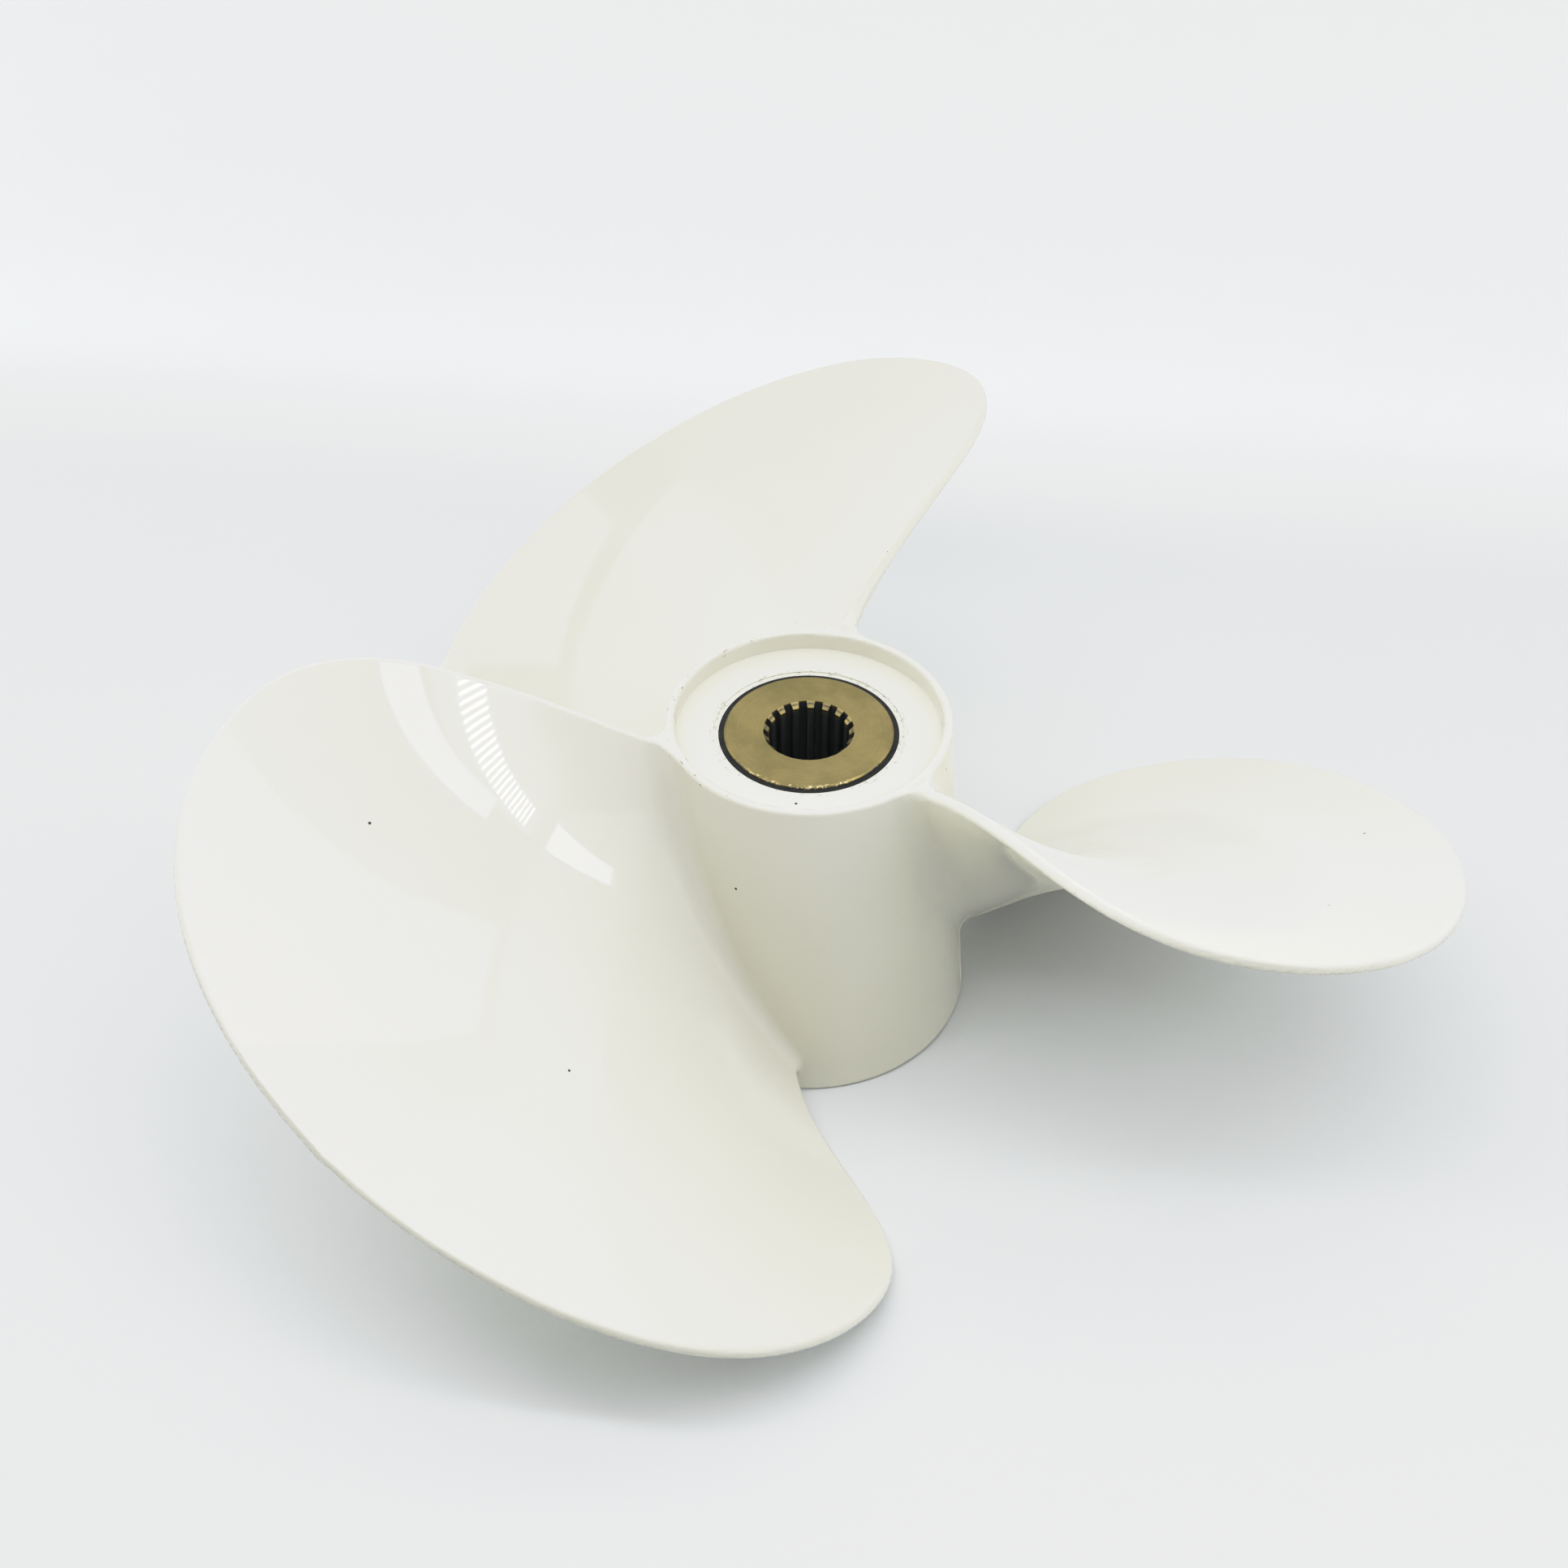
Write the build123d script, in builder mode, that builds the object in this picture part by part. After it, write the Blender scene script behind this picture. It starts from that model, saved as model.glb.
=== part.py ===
"""Three-blade left-hand boat propeller with a rubber-cushioned, splined drive hub.

Frame: origin at the centre of the hub's forward end face, +Z aft along the shaft axis.
"""
from build123d import *
from math import atan2, hypot, pi, sqrt
import os

# ---------------------------------------------------------------- driving dimensions (mm)
propeller_diameter = 381.0      # 15 inch wheel
propeller_pitch = 515.0         # advance per turn of the driving face
blade_count = 3

hub_length = 111.0
hub_aft_radius = 42.5
hub_forward_radius = 52.5
rim_round = 0.8
hub_forward_chamfer = 1.2
recess_radius = 40.0            # shallow seat for the thrust washer at the aft end
recess_depth = 5.8
bore_radius = 27.0              # straight bore that holds the rubber bush
bore_lip_radius = 28.6          # machined step round the bore's aft mouth
bore_lip_depth = 0.4
cavity_depth = 34.0             # cast hollow at the forward end, over the gearcase
cavity_mouth_radius = 45.0
cavity_floor_radius = 40.0

# Blade: heights of the driving face along the blade's centre line
face_mid_height = 60.0
rake_slope = 0.089
rake_curve = 0.00064
flattening_start = 0.45         # radians ahead of the centre line
flattening_rate = 35.0          # how fast the face eases off ahead of that

# Blade: thicknesses at the root and at the tip
trailing_thickness = 3.0
nose_root_thickness = 9.0
nose_tip_thickness = 2.6
middle_root_thickness = 15.0
middle_tip_thickness = 3.4
root_blend_radius = 9.0         # hollow blend on each side where the blade runs into the hub
root_blend_start = 1.3          # the blend is cut off this far up its arc, at the hub's side
trailing_blend = 0.7            # share of the blend that is left at the trailing edge
run_out_slope = 0.58            # the trailing edge leaves the hub's rim at this slope
run_out_width = 20.0
root_section_count = 20
outer_section_count = 14
root_share = 0.12               # part of the outline that the root sections cover
points_per_side = 13

# Brass sleeve
sleeve_flange_radius = 25.4
sleeve_flange_thickness = 4.0
sleeve_body_radius = 18.0
sleeve_forward_height = 30.0    # its forward end stands in the hub's hollow
sleeve_proud = 0.6              # flange stands above the recess floor
spline_teeth = 17
spline_groove_radius = 13.6     # over the groove floors
spline_tooth_radius = 12.1      # over the tooth tips
groove_floor_width = 2.4
groove_mouth_width = 2.8
edge_chamfer = 0.5

# Rubber bush
bush_clearance = 0.05           # radial, between the bush and the hub bore
bush_drop = 0.9                 # its aft rim lies below the flange's aft face

# ---------------------------------------------------------------- derived values
blade_tip_radius = propeller_diameter / 2
blade_tip = (blade_tip_radius - 0.2, -6)
pitch_per_radian = propeller_pitch / (2 * pi)
bush_radius = bore_radius - bush_clearance
recess_floor = hub_length - recess_depth
sleeve_aft_face = recess_floor + sleeve_proud
flange_front = sleeve_aft_face - sleeve_flange_thickness
hub_taper = (hub_aft_radius - hub_forward_radius) / hub_length

# Plan outline of one blade, its centre line along +X, from the root to the tip
with BuildLine() as trailing_outline:
    Spline(
        (26, -14.5),
        (42.5, -33.5),
        (53, -49),
        (66, -69.3),
        (80, -88.5),
        (104, -104.5),
        (136, -102.5),
        (165, -83),
        (181.5, -55.5),
        (188.3, -30),
        blade_tip,
    )
with BuildLine() as leading_outline:
    Spline(
        (26, 19),
        (47, 39),
        (60, 68),
        (79, 95),
        (110, 101.5),
        (142, 91),
        (166.5, 67.5),
        (182, 37),
        (188.2, 14),
        blade_tip,
    )


def hub_radius(height):
    """Outside radius of the tapered hub."""
    return hub_forward_radius + hub_taper * height


def face_height(x, y):
    """Height of the blade's driving face: a constant-pitch left-hand helix with aft rake."""
    angle = atan2(y, x)
    outboard = hypot(x, y) - hub_aft_radius
    rake = rake_slope * outboard + rake_curve * outboard**2
    flattening = flattening_rate * max(0, angle - flattening_start) ** 2
    return face_mid_height + rake - pitch_per_radian * angle + flattening


def root_blend(point):
    """Extra thickness on each side of the blade close to the hub: a hollow arc."""
    gap = hypot(point.X, point.Y) - hub_radius(point.Z)
    run = root_blend_radius - root_blend_start
    foot = sqrt(root_blend_radius**2 - run**2)
    if gap < 0:
        return root_blend_radius - foot + min(-gap, root_blend_start) * run / foot
    return root_blend_radius - sqrt(root_blend_radius**2 - max(run - gap, 0) ** 2)


def between(root_value, tip_value, fraction):
    """Ease from the root value to the tip value."""
    return tip_value + (root_value - tip_value) * (1 - fraction) ** 1.5


def blade_section(fraction):
    """Section of the blade on the upright plane through both edges at one outline fraction."""
    trailing_point = trailing_outline.line @ fraction
    leading_point = leading_outline.line @ fraction
    chord = leading_point - trailing_point
    along = chord.normalized()
    upright = Plane(origin=trailing_point, x_dir=along, z_dir=along.cross(Vector(0, 0, 1)))
    nose = between(nose_root_thickness, nose_tip_thickness, fraction)
    middle = between(middle_root_thickness, middle_tip_thickness, fraction)
    bulge = middle - (trailing_thickness + nose) / 2

    def on_face(distance):
        point = trailing_point + along * distance
        return Vector(point.X, point.Y, face_height(point.X, point.Y))

    def into_blade(distance):
        """Unit vector from the driving face into the blade, in the section plane."""
        rise = on_face(distance + 0.5).Z - on_face(distance - 0.5).Z
        return Vector(rise, -1).normalized()

    shares = [i / (points_per_side - 1) for i in range(points_per_side)]
    face_points = []
    back_points = []
    last = chord.length - nose / 2
    for share in shares:
        distance = last * share
        taper = trailing_thickness + (nose - trailing_thickness) * share
        thickness = taper + bulge * 4 * share * (1 - share)
        place = on_face(distance)
        inward = into_blade(distance)
        face_point = Vector(distance, place.Z)
        swell = inward * root_blend(place) * min(1, trailing_blend + 4 * share)
        face_points.append(face_point - swell)
        back_points.append(face_point + inward * thickness + swell)
    forward = into_blade(last).rotate(Axis.Z, 90)
    nose_middle = (face_points[-1] + back_points[-1]) / 2
    with BuildSketch(upright) as section:
        with BuildLine():
            add(Edge.make_spline(face_points, parameters=shares))
            ThreePointArc(face_points[-1], nose_middle + forward * nose / 2, back_points[-1])
            add(Edge.make_spline(back_points, parameters=shares))
            Line(back_points[0], face_points[0])
        make_face()
    return section.sketch


# ---------------------------------------------------------------- one blade
# Sections crowd towards the root, for the blend, and the tip, where the outline turns.
section_fractions = [root_share * i / root_section_count for i in range(root_section_count)]
for i in range(outer_section_count):
    remaining = (1 - i / outer_section_count) ** 1.6
    section_fractions.append(1 - (1 - root_share) * remaining)
with BuildPart() as blade:
    loft([blade_section(fraction) for fraction in section_fractions])
    # The trailing edge starts flush with the hub's aft face and rises outwards from there
    with BuildSketch(Plane.XZ):
        Polygon(
            (0, hub_length),
            (hub_aft_radius, hub_length),
            (hub_aft_radius + run_out_width, hub_length + run_out_slope * run_out_width),
            (hub_aft_radius + run_out_width, 2 * hub_length),
            (0, 2 * hub_length),
            align=None,
        )
    revolve(axis=Axis.Z, mode=Mode.SUBTRACT)
    # The leading corner ends flush with the hub's forward face
    with BuildSketch(Plane.XY):
        Circle(blade_tip_radius)
    extrude(amount=-hub_length, mode=Mode.SUBTRACT)

# ---------------------------------------------------------------- hub and blades, one casting
with BuildPart() as propeller_casting:
    with BuildSketch(Plane.XZ.rotated((0, 0, 60))):
        Polygon(
            (0, 0),
            (hub_forward_radius, 0),
            (hub_aft_radius, hub_length),
            (0, hub_length),
            align=None,
        )
    revolve(axis=Axis.Z)
    end_rims = propeller_casting.edges().filter_by(GeomType.CIRCLE).sort_by(Axis.Z)
    fillet(end_rims[-1], rim_round)
    chamfer(end_rims[0], hub_forward_chamfer)
    with PolarLocations(0, blade_count):
        add(blade.part)

    # Everything bored out round the shaft axis: forward hollow, bush bore, lip and aft recess
    with BuildSketch(Plane.XZ):
        Polygon(
            (0, -1),
            (cavity_mouth_radius, -1),
            (cavity_mouth_radius, 0),
            (cavity_floor_radius, cavity_depth),
            (bore_radius, cavity_depth),
            (bore_radius, recess_floor - bore_lip_depth),
            (bore_lip_radius, recess_floor - bore_lip_depth),
            (bore_lip_radius, recess_floor),
            (recess_radius, recess_floor),
            (recess_radius, hub_length + 1),
            (0, hub_length + 1),
            align=None,
        )
    revolve(axis=Axis.Z, mode=Mode.SUBTRACT)

    aft_edges = propeller_casting.edges().filter_by(GeomType.CIRCLE).group_by(Axis.Z)[-1]
    fillet(aft_edges.sort_by(SortBy.RADIUS)[0], rim_round)
propeller_casting.part.label = "propeller_casting"

# ---------------------------------------------------------------- splined brass sleeve
with BuildPart() as splined_sleeve:
    with BuildSketch(Plane.XZ):
        Polygon(
            (0, sleeve_forward_height),
            (sleeve_body_radius, sleeve_forward_height),
            (sleeve_body_radius, flange_front),
            (sleeve_flange_radius, flange_front),
            (sleeve_flange_radius, sleeve_aft_face),
            (0, sleeve_aft_face),
            align=None,
        )
    revolve(axis=Axis.Z)
    flange_rim = splined_sleeve.edges().filter_by(GeomType.CIRCLE).group_by(Axis.Z)[-1]
    chamfer(flange_rim, edge_chamfer)
    with BuildSketch(Plane.XY.offset(sleeve_forward_height)):
        Circle(spline_tooth_radius)
        with PolarLocations(0, spline_teeth):
            Polygon(
                (spline_tooth_radius - 1, -groove_mouth_width / 2),
                (spline_groove_radius, -groove_floor_width / 2),
                (spline_groove_radius, groove_floor_width / 2),
                (spline_tooth_radius - 1, groove_mouth_width / 2),
                align=None,
            )
    extrude(amount=hub_length, mode=Mode.SUBTRACT)
    # Cone at each mouth, so that the shaft's splines find their way in
    with BuildSketch(Plane.XZ):
        Polygon(
            (0, sleeve_aft_face),
            (spline_groove_radius, sleeve_aft_face),
            (0, sleeve_aft_face - spline_groove_radius),
            align=None,
        )
        Polygon(
            (0, sleeve_forward_height),
            (spline_groove_radius, sleeve_forward_height),
            (0, sleeve_forward_height + spline_groove_radius),
            align=None,
        )
    revolve(axis=Axis.Z, mode=Mode.SUBTRACT)
splined_sleeve.part.label = "splined_sleeve"

# ---------------------------------------------------------------- rubber cushion bush
with BuildPart() as rubber_bush:
    with BuildSketch(Plane.XZ):
        Polygon(
            (sleeve_body_radius, cavity_depth),
            (bush_radius, cavity_depth),
            (bush_radius, sleeve_aft_face - bush_drop),
            (sleeve_flange_radius, sleeve_aft_face - bush_drop),
            (sleeve_flange_radius, flange_front),
            (sleeve_body_radius, flange_front),
            align=None,
        )
    revolve(axis=Axis.Z)
rubber_bush.part.label = "rubber_bush"

os.makedirs("parts", exist_ok=True)
export_step(propeller_casting.part, "parts/propeller_casting.step")
export_step(rubber_bush.part, "parts/rubber_bush.step")
export_step(splined_sleeve.part, "parts/splined_sleeve.step")
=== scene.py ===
"""Looks of the boat propeller: enamel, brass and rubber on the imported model, in a small light tent.

The casting is meshed again here from one distance function, so that the blades run into the hub
with smooth fillets. Its shape follows the CAD part, and its lengths are in millimetres.
"""
from math import cos, pi, radians, sin

import bpy
import numpy as np
from mathutils import Matrix, Vector


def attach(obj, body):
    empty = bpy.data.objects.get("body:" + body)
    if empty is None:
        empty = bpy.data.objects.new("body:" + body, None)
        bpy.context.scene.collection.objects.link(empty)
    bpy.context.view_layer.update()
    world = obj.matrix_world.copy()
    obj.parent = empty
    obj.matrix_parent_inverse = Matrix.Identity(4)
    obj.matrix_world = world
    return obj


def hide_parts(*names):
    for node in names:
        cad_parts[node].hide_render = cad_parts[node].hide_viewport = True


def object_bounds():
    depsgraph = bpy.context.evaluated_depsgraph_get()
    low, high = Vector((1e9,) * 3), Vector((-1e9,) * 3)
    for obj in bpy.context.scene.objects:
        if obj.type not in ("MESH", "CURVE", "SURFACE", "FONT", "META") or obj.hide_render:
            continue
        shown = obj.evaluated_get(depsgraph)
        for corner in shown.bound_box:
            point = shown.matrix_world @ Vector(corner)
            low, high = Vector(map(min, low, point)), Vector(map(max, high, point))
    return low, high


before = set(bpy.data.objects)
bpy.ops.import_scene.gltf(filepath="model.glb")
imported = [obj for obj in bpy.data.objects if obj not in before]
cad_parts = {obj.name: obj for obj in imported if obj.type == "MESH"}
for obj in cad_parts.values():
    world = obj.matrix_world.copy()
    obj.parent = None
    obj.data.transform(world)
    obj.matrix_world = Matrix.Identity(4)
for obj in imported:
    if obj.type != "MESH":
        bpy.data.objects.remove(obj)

cad_low, cad_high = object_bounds()
millimetre = 0.001

# ---------------------------------------------------------------- camera, as metres and degrees
camera_place = (0.0558, -0.4218, 0.4658)
camera_turn = 9.43              # about +Z, from looking along +Y
camera_pitch = 45.68            # below the horizon
camera_roll = -0.7
camera_lens = 42.74             # in millimetres, as is the sensor
camera_sensor = 36.0
camera_shift = (0.0129, 0.0787)

# ---------------------------------------------------------------- casting, in millimetres
blade_count = 3
hub_length = 111.0
hub_aft_radius = 42.5
hub_forward_radius = 52.5
foot_chamfer = 1.2
recess_radius = 40.0
recess_floor = 105.2
lip_radius = 28.6
lip_floor = 104.8
bore_radius = 27.0
cavity_depth = 34.0
cavity_mouth_radius = 45.0
cavity_floor_radius = 40.0

pitch_per_radian = 515.0 / (2 * pi)    # the pitch is 515 mm
face_mid_height = 60.0
rake_slope = 0.089
rake_curve = 0.00064
flattening_start = 0.45
flattening_rate = 35.0
run_out_slope = 0.58

trailing_thickness = 3.0
nose_root_thickness = 9.0
nose_tip_thickness = 2.6
middle_root_thickness = 15.0
middle_tip_thickness = 3.4
root_ease = 1.5                 # how fast the thickness falls off towards the tip

aft_root_fillet = 8.5           # between blade and hub, at the hub's aft end
forward_root_fillet = 3.0
edge_round = 1.0
inner_round = 0.7
trailing_outline = (
    (26, -14.5),
    (42.5, -33.5),
    (53, -49),
    (66, -69.3),
    (80, -88.5),
    (104, -104.5),
    (136, -102.5),
    (165, -83),
    (181.5, -55.5),
    (188.3, -30),
    (190.3, -6),
)
leading_outline = (
    (26, 19),
    (47, 39),
    (60, 68),
    (79, 95),
    (110, 101.5),
    (142, 91),
    (166.5, 67.5),
    (182, 37),
    (188.2, 14),
    (190.3, -6),
)

# How finely the blade's plan is tabled, and the casting meshed
outline_samples = 1200
tip_turn = 50                   # outline samples over which the edge goes from flat to round
last_chord = 0.995              # the chords stop just short of the tip
chord_halvings = 14
table_low = (0.0, -125.0)
table_high = (205.0, 125.0)
table_step = 1.0
table_batch = 4000              # points measured at a time, to spare memory
smallest_twist_radius = 5.0     # the blade's face isn't twisted further in than this
smallest_foot_radius = 12.0     # points nearer the axis are measured from here
foot_steps = 4                  # steps towards the nearest point of the blade's face
cell = 1.0                      # size of the mesh's cells
coarse_steps = 3                # how often the search grid is halved down to that
search_reach = 1.9              # cells this near the surface are measured again, in coarse cells
grid_margin = 3.0
grid_margin_below = 2.9         # keeps the grid's planes off the flat foot
slope_step = 0.01
least_slope = 0.2               # smallest squared slope that a pull divides by
pull_steps = 4
longest_pull = 0.6              # share of a cell that a corner moves in one step
crisp_rings = (                 # radius and height of the turned edges
    (recess_radius, recess_floor),
    (lip_radius, recess_floor),
    (lip_radius, lip_floor),
    (bore_radius, lip_floor),
    (cavity_floor_radius, cavity_depth),
    (bore_radius, cavity_depth),
)

# ---------------------------------------------------------------- paint, brass and rubber
paint_colour = (0.80, 0.79, 0.69)
paint_warm_patch = (0.79, 0.775, 0.675)
speck_colour = (0.05, 0.06, 0.05)
scuff_colour = (0.20, 0.20, 0.18)
brass_colour = (0.46, 0.375, 0.17)
brass_olive = (0.33, 0.285, 0.125)
brass_stain = (0.25, 0.19, 0.07)
# Worn brass and painted highlight on the flange's front edge
brass_bright = (0.85, 0.72, 0.45)
# The next two darken the spline bore as old grease and painted shade; the first also stains the
# flange's edge as grime
grease_and_shade_colour = (0.040, 0.046, 0.043)
lighter_grease_and_shade = (0.065, 0.073, 0.069)
rubber_colour = (0.006, 0.007, 0.007)
rubber_dust = (0.022, 0.022, 0.020)

paint_roughness = (0.019, 0.034)
edge_on = (0.86, 0.96)          # turned this far away, the paint starts and ends to blur
edge_on_blur = 0.45
peel_depth = 0.0000015
wave_depth = 0.00002
brass_roughness = (0.34, 0.46)
turning_mark_depth = 0.000012
brass_grain_depth = 0.00002
rubber_roughness = (0.55, 0.75)
crumb_depth = 0.0002

# Values of the patterns between which they come and go
usual_noise = (0.3, 0.7)        # nearly all of a noise pattern is between these
middle_noise = (0.35, 0.65)
streak_noise = (0.5, 0.75)
crumb_noise = (0.4, 0.8)
scratch_unrolled = 0.02         # metres of the scratch pattern in a radian
rim_scratches = (0.60, 0.68)
recess_scratches = (0.62, 0.72)
lip_scratches = (0.52, 0.68)
faint_scratch = 0.6
bright_grains = (0.52, 0.58)
ring_stain = 0.18               # how much the turning marks stain the brass
streak_stretch = 0.03           # height scale that draws the grease and painted shade out into upright streaks
speck_cells = 50.0              # cells of the speck pattern in a metre
speck_share = 0.5               # share of the cells that hold a speck
speck_size = (0.016, 0.030)     # dark core and soft edge

# Where the wear, grime, painted highlight and painted shade are, in metres: radii, heights and sides
# between which they come and go
rim_scuff_radii = (0.0385, 0.0405, 0.0425, 0.0445)
rim_scuff_heights = (0.1085, 0.1105)
rim_scuff_sides = (-0.026, -0.012)
recess_scuff_radii = (0.0340, 0.0375, 0.0392, 0.0402)
recess_scuff_heights = (0.1054, 0.1070)
recess_scuff_sides = (-0.030, -0.020)
lip_wear_radii = (0.0268, 0.0272, 0.0290, 0.0300)
flange_grime_radii = (0.0266, 0.0273)
fine_ragged = 0.0012            # how far the grime's ragged border wanders
coarse_ragged = 0.0018
# Where the flange's front edge is worn and has a painted highlight
flange_bright_radii = (0.0246, 0.0249)
flange_bright_sides = (-0.021, -0.019)
# Grease and painted shade darken the spline below its first millimetres; the teeth stay clean and lit
# further down than the grooves
spline_radii = (0.0137, 0.0139)
tooth_radii = (0.0122, 0.0130)
sleeve_aft_face = 0.1058
tooth_clean_lit_depth = 0.0022      # the teeth are bright down to this depth
groove_clean_lit_depth = 0.0002
grease_and_shade_ragged = 0.0008
grease_and_shade_line = (sleeve_aft_face - 0.0002, sleeve_aft_face + 0.0004)

# ---------------------------------------------------------------- light and film, in metres
floor_colour = (0.80, 0.82, 0.83)
floor_roughness = 0.9
floor_shine = 0.1
tent_light_colour = (1.0, 1.0, 1.0)
tent_half_width = 2.5
tent_front = -3.0
tent_height = 2.0
tent_bend_start = 0.36
tent_bend_radius = 0.10
tent_bend_steps = 16
tent_glow_start = 0.25
tent_glow_full = tent_bend_start + 0.04
tent_back_glow = 0.24
lamp_spacing = 0.0125
lamp_colour = (1.0, 1.0, 1.06)
lamp_wave = (-0.8, 0.8)
lamp_levels = (0.55, 1.65)      # strength between the lamps and at them, as shares of the strip's
fill_colour = (0.95, 0.975, 1.0)
fill_strength = 0.10
reflected_strength = 0.25
seen_strength = 0.80
film_curve = ((0.34, 0.35), (0.48, 0.55), (0.60, 0.685), (0.75, 0.81), (0.89, 0.85))
film_white = 0.92               # what full light shows as

# Name, start, end, width, strength, and whether separate lamps show
glow_strips = (
    ("lamp_strip", (-0.30, -0.204, 0.50), (0.28, -0.204, 0.50), 0.038, 6.0, True),
    ("lamp_strip_back", (-0.05, -0.127, 0.501), (0.20, -0.167, 0.501), 0.030, 4.6, False),
    ("lamp_strip_side", (0.36, -0.21, 0.502), (0.70, -0.21, 0.502), 0.060, 6.5, False),
)
# Name, place, what it points at, size, watts, and whether the paint mirrors it
soft_lights = (
    ("lamp_glow", (-0.01, -0.204, 0.499), (-0.01, -0.204, 0.0), (0.58, 0.036), 0.40, False),
    ("roof_front", (0.0, -0.45, 0.90), (0.0, -0.45, 0.0), (1.4, 0.3), 1.48, True),
    ("roof_back", (0.0, 0.15, 0.90), (0.0, 0.15, 0.0), (1.4, 0.3), 1.73, True),
    ("wall_left", (-0.75, 0.0, 0.45), (0.0, 0.0, 0.45), (1.0, 0.9), 3.13, True),
    ("wall_right", (0.75, 0.0, 0.45), (0.0, 0.0, 0.45), (1.0, 0.9), 2.38, True),
)


# ---------------------------------------------------------------- distance function of the casting
def smooth_curve(points, count):
    """Natural cubic spline through the points, over chord length."""
    points = np.array(points, float)
    steps = np.hypot(*np.diff(points, axis=0).T)
    knots = np.concatenate([[0], np.cumsum(steps)])
    system = np.eye(len(knots))
    target = np.zeros((len(knots), 2))
    for i in range(1, len(knots) - 1):
        before, after = steps[i - 1], steps[i]
        system[i, i - 1:i + 2] = before, 2 * (before + after), after
        target[i] = 6 * ((points[i + 1] - points[i]) / after - (points[i] - points[i - 1]) / before)
    bend = np.linalg.solve(system, target)
    place = np.linspace(0, knots[-1], count)
    span = np.clip(np.searchsorted(knots, place, side="right") - 1, 0, len(steps) - 1)
    width = steps[span][:, None]
    first = (knots[span + 1] - place)[:, None] / width
    second = 1 - first
    cubic = (first**3 - first) * bend[span] + (second**3 - second) * bend[span + 1]
    return first * points[span] + second * points[span + 1] + cubic * width**2 / 6


def driving_face(x, y):
    """Height of the blade's driving face, and its slope along x and y."""
    radius = np.maximum(np.hypot(x, y), smallest_twist_radius)
    angle = np.arctan2(y, x)
    outboard = radius - hub_aft_radius
    late = np.maximum(angle - flattening_start, 0)
    height = face_mid_height + rake_slope * outboard + rake_curve * outboard**2
    height = height - pitch_per_radian * angle + flattening_rate * late**2
    outward = rake_slope + 2 * rake_curve * outboard
    around = (2 * flattening_rate * late - pitch_per_radian) / radius
    x_share, y_share = x / radius, y / radius
    return height, outward * x_share - around * y_share, outward * y_share + around * x_share


trailing_curve = smooth_curve(trailing_outline, outline_samples)
leading_curve = smooth_curve(leading_outline, outline_samples)


def chord_ends(fraction):
    """Where the chord at this fraction of the way to the tip starts and ends."""
    fractions = np.linspace(0, 1, outline_samples)
    curves = (trailing_curve, leading_curve)
    return [np.interp(fraction, fractions, curve[:, k]) for curve in curves for k in (0, 1)]


def chord_through(x, y):
    """Which chord, from the trailing to the leading outline, each point lies on."""
    nearer = np.zeros(x.size)
    further = np.full(x.size, last_chord)
    for _ in range(chord_halvings):
        halfway = (nearer + further) / 2
        ax, ay, bx, by = chord_ends(halfway)
        beyond = (bx - ax) * (y - ay) - (by - ay) * (x - ax) < 0
        nearer = np.where(beyond, halfway, nearer)
        further = np.where(beyond, further, halfway)
    return nearer


def blade_section(x, y):
    """Thickness of the blade at each point, and thickness of its leading edge there."""
    fraction = chord_through(x, y)
    ax, ay, bx, by = chord_ends(fraction)
    chord = np.hypot(bx - ax, by - ay)
    ease = (1 - fraction) ** root_ease
    nose = nose_tip_thickness + (nose_root_thickness - nose_tip_thickness) * ease
    middle = middle_tip_thickness + (middle_root_thickness - middle_tip_thickness) * ease
    along = ((x - ax) * (bx - ax) + (y - ay) * (by - ay)) / chord
    share = np.clip(along / np.maximum(chord - nose / 2, 1), 0, 1)
    thickness = trailing_thickness + (nose - trailing_thickness) * share
    thickness += (middle - (trailing_thickness + nose) / 2) * 4 * share * (1 - share)
    return thickness, nose


def whole_outline():
    """Points along both outlines, the way out from each, and which are on the leading side."""
    sides = (trailing_curve[::2], leading_curve[::-2])
    outline = np.concatenate(sides)
    leading_share = np.repeat([0.0, 1.0], [len(side) for side in sides])
    window = np.hanning(2 * tip_turn + 1)
    padded = np.pad(leading_share, tip_turn, mode="edge")
    leading_share = np.convolve(padded, window / window.sum(), mode="valid")
    direction = np.gradient(outline, axis=0)
    direction /= np.maximum(np.hypot(*direction.T), 1e-9)[:, None]
    outward = np.stack([direction[:, 1], -direction[:, 0]], 1)
    return outline, outward, leading_share


def past_outline(x, y):
    """How far each point is past the outline, the face's stretch there, and the leading share."""
    outline, outward, leading_share = whole_outline()
    nearest = np.empty(x.size, int)
    for i in range(0, x.size, table_batch):
        part = slice(i, i + table_batch)
        gap_x = x[part, None] - outline[None, :, 0]
        gap_y = y[part, None] - outline[None, :, 1]
        nearest[part] = (gap_x**2 + gap_y**2).argmin(1)
    foot = outline[nearest]
    normal = outward[nearest]
    past = ((np.stack([x, y], 1) - foot) * normal).sum(1)
    _, slope_x, slope_y = driving_face(*foot.T)
    stretch = np.sqrt(1 + (slope_x * normal[:, 0] + slope_y * normal[:, 1]) ** 2)
    return past, stretch, leading_share[nearest]


def make_blade_table():
    """Thickness, edge rounding and distance past the edge, on a grid over the blade's plan."""
    x = np.arange(table_low[0], table_high[0], table_step)
    y = np.arange(table_low[1], table_high[1], table_step)
    grid_x, grid_y = np.meshgrid(x, y, indexing="ij")
    thickness, nose = blade_section(grid_x.ravel(), grid_y.ravel())
    past, stretch, lead = past_outline(grid_x.ravel(), grid_y.ravel())

    # The leading edge is fully round, the trailing edge is flat with rounded corners
    rounding = np.minimum(edge_round + (nose / 2 - edge_round) * lead, thickness / 2)
    edge = (past + lead * rounding) * stretch + (1 - lead) * rounding
    return np.stack([column.reshape(grid_x.shape) for column in (thickness, rounding, edge)], -1)


blade_table = make_blade_table()


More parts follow.
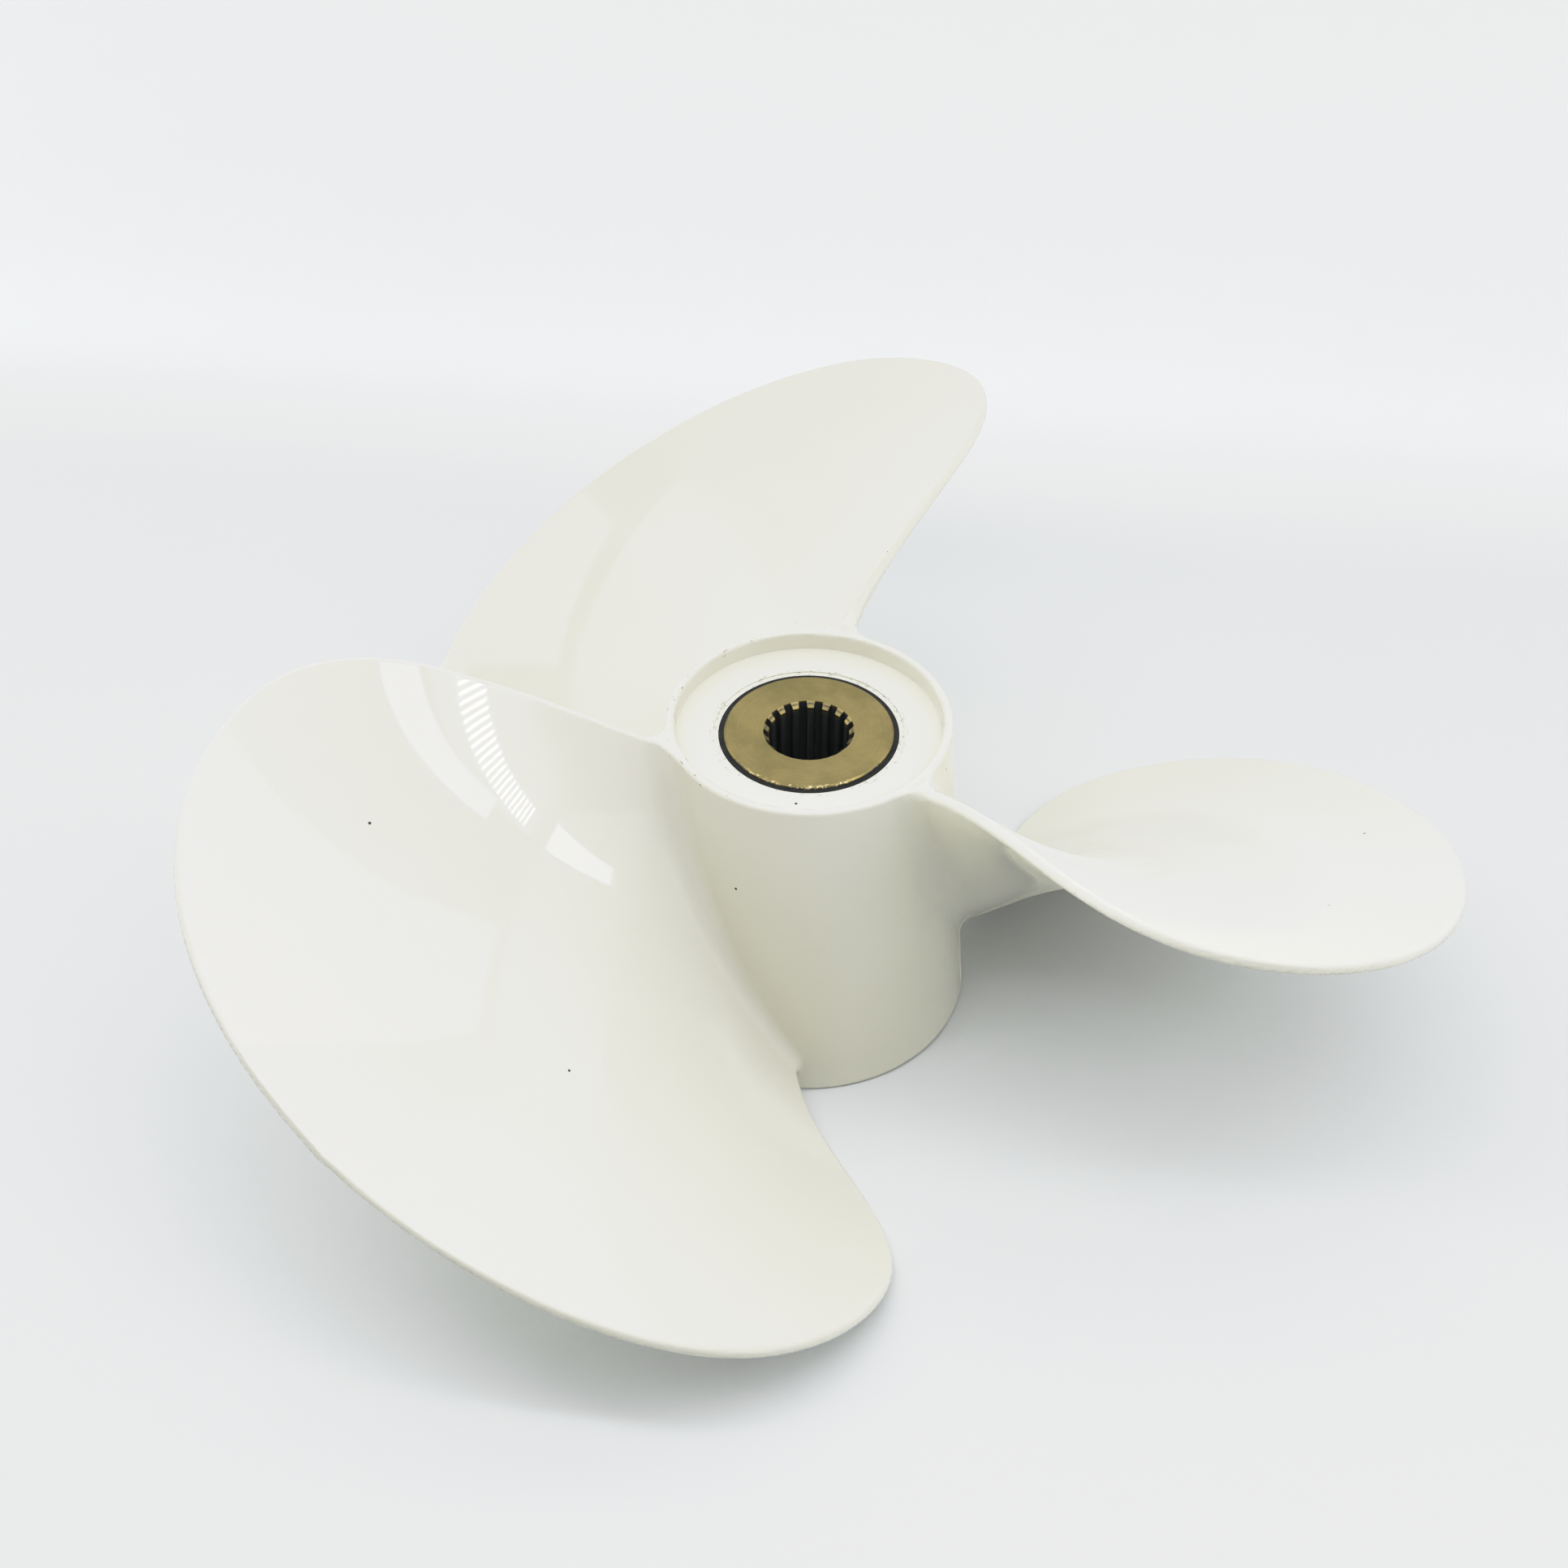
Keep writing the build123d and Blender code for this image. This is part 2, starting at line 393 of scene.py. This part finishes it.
def look_up(x, y):
    """The blade table's values at any point, mixed from the four nearest of its grid."""
    # Kept just short of the last grid line, so that there is always a next one
    last_u, last_v = (count - 1.001 for count in blade_table.shape[:2])
    u = np.clip((x - table_low[0]) / table_step, 0, last_u)
    v = np.clip((y - table_low[1]) / table_step, 0, last_v)
    i, j = u.astype(int), v.astype(int)
    a, b = (u - i)[:, None], (v - j)[:, None]
    near = blade_table[i, j] * (1 - a) + blade_table[i + 1, j] * a
    far = blade_table[i, j + 1] * (1 - a) + blade_table[i + 1, j + 1] * a
    return (near * (1 - b) + far * b).T


def blade_distance(x, y, z):
    """Distance to the nearest blade, without its root fillet."""
    sector = 2 * pi / blade_count
    turn = np.round(np.arctan2(y, x) / sector) * sector
    point_x = x * np.cos(turn) + y * np.sin(turn)
    point_y = y * np.cos(turn) - x * np.sin(turn)
    foot_x, foot_y = point_x.copy(), point_y.copy()
    for _ in range(foot_steps):
        height, slope_x, slope_y = driving_face(foot_x, foot_y)
        size = np.sqrt(1 + slope_x**2 + slope_y**2)
        off_x, off_y = point_x - foot_x, point_y - foot_y
        above = (z - height - slope_x * off_x - slope_y * off_y) / size
        foot_x = foot_x + off_x + above * slope_x / size
        foot_y = foot_y + off_y + above * slope_y / size
        radius = np.maximum(np.hypot(foot_x, foot_y), 1e-6)
        outwards = np.maximum(radius, smallest_foot_radius) / radius
        foot_x, foot_y = foot_x * outwards, foot_y * outwards
    thickness, rounding, edge = look_up(foot_x, foot_y)
    across = np.abs(above + thickness / 2) - thickness / 2 + rounding
    outside = np.hypot(np.maximum(across, 0), np.maximum(edge, 0))
    return outside + np.minimum(np.maximum(across, edge), 0) - rounding


def round_union(a, b, radius):
    """Union of two shapes, with a hollow fillet of this radius."""
    fillet = np.hypot(np.maximum(radius - a, 0), np.maximum(radius - b, 0))
    return np.maximum(radius, np.minimum(a, b)) - fillet


def round_overlap(a, b, radius):
    """What two shapes share, with its edge rounded to this radius."""
    return -round_union(-a, -b, radius)


past_end = 20                   # the hollow's profile goes on this far past both ends of the hub
hollow_profile = (
    (0, -past_end),
    (cavity_mouth_radius, -past_end),
    (cavity_mouth_radius, 0),
    (cavity_floor_radius, cavity_depth),
    (bore_radius, cavity_depth),
    (bore_radius, lip_floor),
    (lip_radius, lip_floor),
    (lip_radius, recess_floor),
    (recess_radius, recess_floor),
    (recess_radius, hub_length + past_end),
    (0, hub_length + past_end),
)


def hollow_distance(radius, z):
    """Distance to the space bored and cast out round the shaft axis, from its turned profile."""
    nearest = np.full(radius.shape, np.inf)
    inside = np.zeros(radius.shape, bool)
    for (r0, z0), (r1, z1) in zip(hollow_profile, hollow_profile[1:] + hollow_profile[:1]):
        squared_length = (r1 - r0) ** 2 + (z1 - z0) ** 2
        share = ((radius - r0) * (r1 - r0) + (z - z0) * (z1 - z0)) / squared_length
        share = np.clip(share, 0, 1)
        if max(r0, r1) > 0:
            gap = (radius - r0 - share * (r1 - r0)) ** 2 + (z - z0 - share * (z1 - z0)) ** 2
            nearest = np.minimum(nearest, gap)
        if z0 != z1:
            crosses = (z >= min(z0, z1)) & (z < max(z0, z1))
            inside ^= crosses & (radius < r0 + (z - z0) * (r1 - r0) / (z1 - z0))
    return np.where(inside, -1, 1) * np.sqrt(nearest)


def casting_distance(points):
    """Distance to the painted casting, below zero inside it."""
    x, y, z = points.T
    radius = np.hypot(x, y)
    taper = (hub_forward_radius - hub_aft_radius) / hub_length
    wall = (radius - hub_forward_radius + taper * z) / np.hypot(1, taper)
    chamfer = (radius - hub_forward_radius - z + foot_chamfer) / np.sqrt(2)
    hub = round_overlap(wall, chamfer, edge_round / 2)
    share = np.clip(z / hub_length, 0, 1)
    fillet = forward_root_fillet + (aft_root_fillet - forward_root_fillet) * share
    whole = round_union(hub, blade_distance(x, y, z), fillet)
    rise = run_out_slope * np.maximum(radius - hub_aft_radius, 0)
    cap = (z - hub_length - rise) / np.where(rise > 0, np.hypot(1, run_out_slope), 1)
    whole = round_overlap(whole, cap, edge_round)
    whole = round_overlap(whole, -z, edge_round / 2)
    return round_overlap(whole, -hollow_distance(radius, z), inner_round)


# ---------------------------------------------------------------- mesh of the casting
def slope_of_distance(points, distance):
    slopes = [casting_distance(points + slope_step * axis) - distance for axis in np.eye(3)]
    return np.stack(slopes, 1) / slope_step


def pull_onto_surface(points, longest_step):
    for _ in range(pull_steps):
        distance = casting_distance(points)
        slope = slope_of_distance(points, distance)
        steepness = np.maximum((slope**2).sum(1), least_slope)
        move = distance[:, None] * slope / steepness[:, None]
        length = np.maximum(np.linalg.norm(move, axis=1), 1e-9)
        points = points - move * (np.minimum(length, longest_step) / length)[:, None]
    return points


def snap_to_creases(points, cell_low, spacing):
    """Moves the corners of cells that a turned edge runs through onto that edge."""
    corner_x = cell_low[:, 0, None] + spacing * np.array([0, 1, 0, 1])
    corner_y = cell_low[:, 1, None] + spacing * np.array([0, 0, 1, 1])
    corner_radius = np.hypot(corner_x, corner_y)
    nearest, furthest = corner_radius.min(1), corner_radius.max(1)
    angle = np.arctan2(*(cell_low[:, 1::-1] + spacing / 2).T)
    snapped = np.zeros(len(points), bool)
    for radius, z in crisp_rings:
        on_ring = (nearest <= radius) & (radius < furthest)
        on_ring &= (cell_low[:, 2] <= z) & (z < cell_low[:, 2] + spacing)
        points[on_ring, 0] = radius * np.cos(angle[on_ring])
        points[on_ring, 1] = radius * np.sin(angle[on_ring])
        points[on_ring, 2] = z
        snapped |= on_ring
    return snapped


def distance_grid():
    """Distances on a grid round the casting, coarse far from its surface and fine near it."""
    spacing = cell * 2**coarse_steps
    low = np.array(cad_low) / millimetre - (grid_margin, grid_margin, grid_margin_below)
    high = np.array(cad_high) / millimetre + grid_margin
    counts = np.ceil((high - low) / spacing).astype(int) + 1
    index = np.stack(np.meshgrid(*[np.arange(n) for n in counts], indexing="ij"), -1)
    distances = casting_distance(low + spacing * index.reshape(-1, 3)).reshape(counts)
    for _ in range(coarse_steps):
        reach = search_reach * spacing
        spacing /= 2
        distances = distances.repeat(2, 0).repeat(2, 1).repeat(2, 2)
        near = np.nonzero(np.abs(distances) < reach)
        distances[near] = casting_distance(low + spacing * np.stack(near, 1))
    return low, spacing, distances


def cells_on_surface(inside):
    """Where the cells are that the surface runs through, and each one's number on the grid."""
    last_x, last_y, last_z = (n - 1 for n in inside.shape)
    corners = [inside[i:last_x + i, j:last_y + j, k:last_z + k]
               for i in (0, 1) for j in (0, 1) for k in (0, 1)]
    crossed = np.nonzero(np.any(corners, axis=0) & ~np.all(corners, axis=0))
    number = np.full((last_x, last_y, last_z), -1, np.int32)
    number[crossed] = np.arange(len(crossed[0]))
    return np.stack(crossed, 1), number


def faces_between_cells(inside, number):
    """One four-sided face round each grid edge that goes in or out of the casting."""
    faces = []
    for axis in range(3):
        swapped = np.swapaxes(inside, 0, axis)
        changes = np.swapaxes(swapped[:-1] != swapped[1:], 0, axis)
        edges = np.nonzero(changes)
        first_other, second_other = (k for k in range(3) if k != axis)
        ring = []
        for first_shift, second_shift in ((1, 1), (0, 1), (0, 0), (1, 0)):
            place = list(edges)
            place[first_other] = edges[first_other] - first_shift
            place[second_other] = edges[second_other] - second_shift
            ring.append(number[tuple(place)])
        ring = np.stack(ring, 1)
        backwards = inside[edges] == (axis == 1)
        ring[backwards] = ring[backwards][:, ::-1]
        faces.append(ring)
    return np.concatenate(faces)


def casting_mesh():
    """Each cell that the surface runs through gives one corner, pulled onto the surface.

    Also gives the surface's direction at each corner, and which corners lie on a crisp edge.
    """
    low, spacing, distances = distance_grid()
    inside = distances < 0
    crossed, number = cells_on_surface(inside)
    faces = faces_between_cells(inside, number)
    cell_low = low + spacing * crossed
    points = pull_onto_surface(cell_low + spacing / 2, longest_pull * spacing)
    directions = slope_of_distance(points, casting_distance(points))
    directions /= np.linalg.norm(directions, axis=1)[:, None]
    crisp = snap_to_creases(points, cell_low, spacing)
    return points, faces, directions, crisp


def place_in_scene(name, data):
    """Puts a mesh, light or camera in the scene, as an object."""
    thing = bpy.data.objects.new(name, data)
    bpy.context.scene.collection.objects.link(thing)
    return thing


def make_casting(material):
    points, faces, directions, crisp = casting_mesh()
    mesh = bpy.data.meshes.new("painted_casting")
    mesh.vertices.add(len(points))
    mesh.vertices.foreach_set("co", (points * millimetre).astype(np.float32).ravel())
    mesh.loops.add(faces.size)
    mesh.loops.foreach_set("vertex_index", faces.astype(np.int32).ravel())
    mesh.polygons.add(len(faces))
    mesh.polygons.foreach_set("loop_start", np.arange(0, faces.size, 4, dtype=np.int32))
    mesh.update(calc_edges=True)
    mesh.shade_smooth()

    # Round a crisp edge each face keeps its own direction, elsewhere the surface's
    across = points[faces[:, 2]] - points[faces[:, 0]]
    down = points[faces[:, 3]] - points[faces[:, 1]]
    flat = np.cross(across, down)
    flat /= np.maximum(np.linalg.norm(flat, axis=1), 1e-12)[:, None]
    shading = np.where(crisp[faces][..., None], flat[:, None, :], directions[faces])
    mesh.normals_split_custom_set(shading.reshape(-1, 3).tolist())
    mesh.materials.append(material)

    casting = place_in_scene("painted_casting", mesh)
    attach(casting, "casting")
    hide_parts("propeller_casting")


# ---------------------------------------------------------------- materials
class Nodes:
    """Short names for making and joining the nodes of one material."""

    def __init__(self, name):
        self.material = bpy.data.materials.new(name)
        self.material.use_nodes = True
        self.tree = self.material.node_tree
        self.shader = self.tree.nodes["Principled BSDF"]
        self.place = self.add("TexCoord").outputs["Object"]
        parts = self.add("SeparateXYZ")
        self.join(self.place, parts.inputs[0])
        self.x, self.y, self.z = parts.outputs
        squared = self.maths("ADD", self.times(self.x, self.x), self.times(self.y, self.y))
        self.radius = self.maths("SQRT", squared)

    def add(self, kind, **settings):
        node = self.tree.nodes.new("ShaderNode" + kind)
        for key, value in settings.items():
            setattr(node, key, value)
        return node

    def join(self, start, end):
        self.tree.links.new(start, end)

    def set(self, socket, value):
        """Joins another node's output, or sets a number or a colour."""
        if isinstance(value, bpy.types.NodeSocket):
            self.join(value, socket)
        elif isinstance(value, tuple):
            socket.default_value = (*value, 1.0)
        else:
            socket.default_value = value

    def maths(self, operation, first, second=0.0):
        node = self.add("Math", operation=operation)
        self.set(node.inputs[0], first)
        self.set(node.inputs[1], second)
        return node.outputs[0]

    def times(self, first, *others):
        for other in others:
            first = self.maths("MULTIPLY", first, other)
        return first

    def noise(self, scale, detail=2.0, roughness=0.5, place=None):
        """Soft pattern with this many waves to the metre."""
        node = self.add("TexNoise")
        node.inputs["Scale"].default_value = scale
        node.inputs["Detail"].default_value = detail
        node.inputs["Roughness"].default_value = roughness
        self.join(place or self.place, node.inputs["Vector"])
        return node.outputs["Fac"]

    def between(self, value, low, high, to_low=0.0, to_high=1.0):
        """Eases from one value to another while the input goes from low to high."""
        node = self.add("MapRange", interpolation_type="SMOOTHSTEP")
        self.set(node.inputs["Value"], value)
        node.inputs["From Min"].default_value = low
        node.inputs["From Max"].default_value = high
        node.inputs["To Min"].default_value = to_low
        node.inputs["To Max"].default_value = to_high
        return node.outputs["Result"]

    def falling(self, value, low, high):
        return self.between(value, low, high, 1.0, 0.0)

    def band(self, value, rise_start, rise_end, fall_start, fall_end):
        """One between the inner two values, easing to zero at the outer two."""
        rising = self.between(value, rise_start, rise_end)
        return self.times(rising, self.falling(value, fall_start, fall_end))

    def unrolled(self, width_per_radian):
        """Place on the surface unrolled round the shaft axis, so that a pattern runs round it."""
        node = self.add("CombineXYZ")
        angle = self.maths("ARCTAN2", self.y, self.x)
        self.set(node.inputs[0], self.times(angle, width_per_radian))
        self.set(node.inputs[1], self.radius)
        self.set(node.inputs[2], self.z)
        return node.outputs[0]

    def stretched_up(self, scale):
        """Place with its height scaled, so that a pattern runs up and down."""
        node = self.add("Mapping")
        node.inputs["Scale"].default_value = (1.0, 1.0, scale)
        self.join(self.place, node.inputs["Vector"])
        return node.outputs["Vector"]

    def mix(self, share, first, second):
        node = self.add("Mix", data_type="RGBA")
        self.set(node.inputs["Factor"], share)
        self.set(node.inputs[6], first)
        self.set(node.inputs[7], second)
        return node.outputs[2]

    def bump(self, height, depth, normal=None):
        node = self.add("Bump")
        node.inputs["Strength"].default_value = 1.0
        node.inputs["Distance"].default_value = depth
        self.join(height, node.inputs["Height"])
        if normal is not None:
            self.join(normal, node.inputs["Normal"])
        return node.outputs["Normal"]

    def finish(self, colour, roughness, metallic=0.0, normal=None):
        self.set(self.shader.inputs["Base Color"], colour)
        self.set(self.shader.inputs["Roughness"], roughness)
        self.set(self.shader.inputs["Metallic"], metallic)
        if normal is not None:
            self.join(normal, self.shader.inputs["Normal"])
        return self.material


def paint_specks(nodes):
    """One where a spot of the cell pattern happens to touch the surface."""
    cells = nodes.add("TexVoronoi")
    cells.inputs["Scale"].default_value = speck_cells
    nodes.join(nodes.place, cells.inputs["Vector"])
    shade = nodes.add("SeparateColor")
    nodes.join(cells.outputs["Color"], shade.inputs[0])
    chosen = nodes.maths("LESS_THAN", shade.outputs[0], speck_share)
    return nodes.times(nodes.falling(cells.outputs["Distance"], *speck_size), chosen)


def paint_scuffs(nodes):
    """One on the scratches of the rim's left side, the recess's front corner and the bore's lip."""
    unrolled = nodes.unrolled(scratch_unrolled)
    scratches = nodes.noise(scale=900.0, detail=4.0, roughness=0.7, place=unrolled)
    rim = nodes.times(
        nodes.band(nodes.radius, *rim_scuff_radii),
        nodes.between(nodes.z, *rim_scuff_heights),
        nodes.falling(nodes.x, *rim_scuff_sides),
        nodes.between(scratches, *rim_scratches),
    )
    recess = nodes.times(
        nodes.band(nodes.radius, *recess_scuff_radii),
        nodes.falling(nodes.z, *recess_scuff_heights),
        nodes.falling(nodes.y, *recess_scuff_sides),
        nodes.between(scratches, *recess_scratches, 0.0, faint_scratch),
    )
    lip = nodes.times(
        nodes.band(nodes.radius, *lip_wear_radii),
        nodes.between(scratches, *lip_scratches, 0.0, faint_scratch),
    )
    return nodes.maths("MAXIMUM", nodes.maths("MAXIMUM", rim, recess), lip)


def enamel():
    """Glossy cream-white enamel on cast aluminium, with a few specks and scuffs."""
    nodes = Nodes("cream_enamel")
    patches = nodes.between(nodes.noise(scale=14.0, detail=3.0), *usual_noise)
    colour = nodes.mix(patches, paint_colour, paint_warm_patch)
    colour = nodes.mix(paint_specks(nodes), colour, speck_colour)
    colour = nodes.mix(paint_scuffs(nodes), colour, scuff_colour)

    # Seen almost edge on, the paint's fine texture blurs what it mirrors
    turned_away = nodes.add("LayerWeight").outputs["Facing"]
    blur = nodes.between(turned_away, *edge_on, 0.0, edge_on_blur)
    cloudy = nodes.noise(scale=30.0, detail=4.0, roughness=0.6)
    gloss = nodes.between(cloudy, *usual_noise, *paint_roughness)
    peel = nodes.bump(nodes.noise(scale=320.0, detail=1.0), peel_depth)
    waves = nodes.bump(nodes.noise(scale=45.0, detail=1.0), wave_depth, peel)
    return nodes.finish(colour, nodes.maths("ADD", blur, gloss), normal=waves)


def flange_wear_and_glint(nodes, colour, grime):
    """Colour with the flange's grimy outer edge, worn and with a painted highlight at the front, and
    where it is grimy.
    """
    coarse = nodes.times(nodes.noise(scale=90.0, detail=2.0), coarse_ragged)
    ragged = nodes.maths("ADD", nodes.times(grime, fine_ragged), coarse)
    edge = nodes.between(nodes.maths("ADD", nodes.radius, ragged), *flange_grime_radii)
    colour = nodes.mix(edge, colour, grease_and_shade_colour)
    # Painted highlight, with wear, on the flange's front edge only
    bright = nodes.times(
        nodes.between(nodes.radius, *flange_bright_radii),
        nodes.falling(nodes.y, *flange_bright_sides),
        nodes.between(grime, *bright_grains),
    )
    return nodes.mix(bright, colour, brass_bright), edge


def spline_grease_and_shade(nodes, colour, grime):
    """Colour with old grease and painted shade below the first millimetres of the spline, and how much
    of both there is at each point.
    """
    clean_lit_depth = nodes.between(nodes.radius, *tooth_radii, tooth_clean_lit_depth, groove_clean_lit_depth)
    ragged = nodes.times(grime, grease_and_shade_ragged)
    height = nodes.maths("ADD", nodes.maths("ADD", nodes.z, clean_lit_depth), ragged)
    inside = nodes.falling(nodes.radius, *spline_radii)
    # Painted shade and grease inside the spline, below its clean, lit top
    greasy_and_shaded = nodes.times(inside, nodes.falling(height, *grease_and_shade_line))
    upright = nodes.stretched_up(streak_stretch)
    streaks = nodes.noise(scale=700.0, detail=3.0, roughness=0.6, place=upright)
    # Streaky dark tone of the spline's grease and painted shade
    grease_and_shade_tone = nodes.mix(nodes.between(streaks, *streak_noise), grease_and_shade_colour, lighter_grease_and_shade)
    return nodes.mix(greasy_and_shaded, colour, grease_and_shade_tone), greasy_and_shaded


def brass():
    """Turned brass: dull olive gold, stained at the edge, with a painted highlight on the flange's
    front edge, and old grease and painted shade in the spline.
    """
    nodes = Nodes("worn_brass_with_painted_light")
    clouds = nodes.noise(scale=38.0, detail=5.0, roughness=0.65)
    colour = nodes.mix(nodes.between(clouds, *middle_noise), brass_colour, brass_olive)
    rings = nodes.add("TexNoise", noise_dimensions="1D")
    rings.inputs["Scale"].default_value = 2600.0
    rings.inputs["Detail"].default_value = 2.0
    nodes.join(nodes.radius, rings.inputs["W"])
    stained = nodes.between(rings.outputs["Fac"], *middle_noise, 0.0, ring_stain)
    colour = nodes.mix(stained, colour, brass_stain)
    grime = nodes.noise(scale=900.0, detail=5.0, roughness=0.7)
    colour, grimy = flange_wear_and_glint(nodes, colour, grime)
    colour, grease_and_shade = spline_grease_and_shade(nodes, colour, grime)
    # Where the spline has grease and painted shade, or the flange has grime, the brass is not metal
    metallic = nodes.maths("SUBTRACT", 1.0, nodes.maths("MAXIMUM", grease_and_shade, grimy))
    uneven = nodes.noise(scale=140.0, detail=4.0, roughness=0.6)
    roughness = nodes.between(uneven, *usual_noise, *brass_roughness)
    marks = nodes.bump(rings.outputs["Fac"], turning_mark_depth)
    return nodes.finish(colour, roughness, metallic, nodes.bump(grime, brass_grain_depth, marks))


def rubber():
    """Matt black rubber, rough where it was cut."""
    nodes = Nodes("black_rubber")
    crumbs = nodes.noise(scale=1400.0, detail=4.0, roughness=0.7)
    colour = nodes.mix(nodes.between(crumbs, *crumb_noise), rubber_colour, rubber_dust)
    uneven = nodes.noise(scale=260.0, detail=3.0)
    roughness = nodes.between(uneven, *usual_noise, *rubber_roughness)
    return nodes.finish(colour, roughness, normal=nodes.bump(crumbs, crumb_depth))


def dress(node, material):
    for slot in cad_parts[node].material_slots:
        slot.material = material


make_casting(enamel())
dress("splined_sleeve", brass())
dress("rubber_bush", rubber())


# ---------------------------------------------------------------- light tent
def tent_cloth():
    """White cloth that glows where it rises at the back, and isn't seen from outside the tent."""
    nodes = Nodes("tent_cloth")
    nodes.shader.inputs["Specular IOR Level"].default_value = floor_shine
    nodes.shader.inputs["Emission Color"].default_value = (*tent_light_colour, 1.0)
    glow = nodes.between(nodes.y, tent_glow_start, tent_glow_full, 0.0, tent_back_glow)
    nodes.join(glow, nodes.shader.inputs["Emission Strength"])
    cloth = nodes.finish(floor_colour, floor_roughness)
    from_behind = nodes.add("NewGeometry").outputs["Backfacing"]
    from_outside = nodes.times(from_behind, nodes.add("LightPath").outputs["Is Camera Ray"])
    choice = nodes.add("MixShader")
    nodes.join(from_outside, choice.inputs[0])
    nodes.join(nodes.shader.outputs[0], choice.inputs[1])
    nodes.join(nodes.add("BsdfTransparent").outputs[0], choice.inputs[2])
    nodes.join(choice.outputs[0], nodes.tree.nodes["Material Output"].inputs["Surface"])
    return cloth


def make_tent():
    """Floor that curves up into a backdrop behind the object."""
    profile = [(tent_front, 0.0)]
    for i in range(tent_bend_steps + 1):
        angle = pi / 2 * i / tent_bend_steps
        rise = tent_bend_radius * (1 - cos(angle))
        profile.append((tent_bend_start + tent_bend_radius * sin(angle), rise))
    profile.append((tent_bend_start + tent_bend_radius, tent_height))
    points = [(side * tent_half_width, y, z) for y, z in profile for side in (-1, 1)]
    faces = [(2 * i, 2 * i + 1, 2 * i + 3, 2 * i + 2) for i in range(len(profile) - 1)]
    mesh = bpy.data.meshes.new("tent_floor")
    mesh.from_pydata(points, [], faces)
    mesh.shade_smooth()
    mesh.materials.append(tent_cloth())
    place_in_scene("tent_floor", mesh)


def glow_material(name, strength, dotted):
    """Plain light, or the row of separate lamps of an LED strip."""
    nodes = Nodes(name)
    nodes.shader.inputs["Emission Color"].default_value = (*lamp_colour, 1.0)
    level = strength
    if dotted:
        wave = nodes.maths("COSINE", nodes.times(nodes.x, 2 * pi / lamp_spacing))
        level = nodes.between(wave, *lamp_wave, *[share * strength for share in lamp_levels])
    nodes.set(nodes.shader.inputs["Emission Strength"], level)
    return nodes.finish((0.0, 0.0, 0.0), 1.0)


def glow_strip(name, start, end, width, strength, dotted):
    """Strip of light under the roof, seen only as a reflection."""
    start, end = Vector(start), Vector(end)
    side = (end - start).cross(Vector((0.0, 0.0, 1.0))).normalized() * width / 2
    points = [start + side, end + side, end - side, start - side]
    mesh = bpy.data.meshes.new(name)
    mesh.from_pydata(points, [], [(0, 1, 2, 3)])
    mesh.materials.append(glow_material(name, strength, dotted))
    strip = place_in_scene(name, mesh)
    strip.visible_camera = False


def soft_light(name, place, target, size, power, reflected):
    data = bpy.data.lights.new(name, "AREA")
    data.shape = "RECTANGLE"
    data.size, data.size_y = size
    data.energy = power
    data.color = tent_light_colour
    light = place_in_scene(name, data)
    light.location = place
    aim = Vector(target) - Vector(place)
    light.rotation_euler = aim.to_track_quat("-Z", "Y").to_euler()
    light.visible_camera = False
    light.visible_glossy = reflected


def fill_light():
    """Weak light from all round; reflections and the camera see brighter cloth there."""
    world = bpy.data.worlds.new("tent_fill")
    world.use_nodes = True
    tree = world.node_tree
    background = tree.nodes["Background"]
    background.inputs["Color"].default_value = (*fill_colour, 1.0)
    ray = tree.nodes.new("ShaderNodeLightPath")
    mirrored = tree.nodes.new("ShaderNodeMix")
    mirrored.inputs["A"].default_value = fill_strength
    mirrored.inputs["B"].default_value = reflected_strength
    seen = tree.nodes.new("ShaderNodeMix")
    seen.inputs["B"].default_value = seen_strength
    for start, end in (
        (ray.outputs["Is Glossy Ray"], mirrored.inputs["Factor"]),
        (ray.outputs["Is Camera Ray"], seen.inputs["Factor"]),
        (mirrored.outputs["Result"], seen.inputs["A"]),
        (seen.outputs["Result"], background.inputs["Strength"]),
    ):
        tree.links.new(start, end)
    bpy.context.scene.world = world


make_tent()
fill_light()
for strip in glow_strips:
    glow_strip(*strip)
for light in soft_lights:
    soft_light(*light)


# ---------------------------------------------------------------- camera and film
def make_camera():
    data = bpy.data.cameras.new("camera")
    data.lens = camera_lens
    data.sensor_width = camera_sensor
    data.shift_x, data.shift_y = camera_shift
    camera = place_in_scene("camera", data)
    turn = Matrix.Rotation(radians(camera_turn), 4, "Z")
    tilt = Matrix.Rotation(radians(90 - camera_pitch), 4, "X")
    roll = Matrix.Rotation(radians(camera_roll), 4, "Z")
    camera.matrix_world = Matrix.Translation(camera_place) @ turn @ tilt @ roll
    bpy.context.scene.camera = camera


def set_film():
    """Film that lifts the light tones and holds back the brightest, like a phone's camera."""
    view = bpy.context.scene.view_settings
    view.view_transform = "Standard"
    view.use_curve_mapping = True
    whole_curve = view.curve_mapping.curves[3]    # after the red, green and blue ones
    for level, shown in film_curve:
        whole_curve.points.new(level, shown)
    whole_curve.points[-1].location = (1.0, film_white)
    view.curve_mapping.update()


make_camera()
set_film()
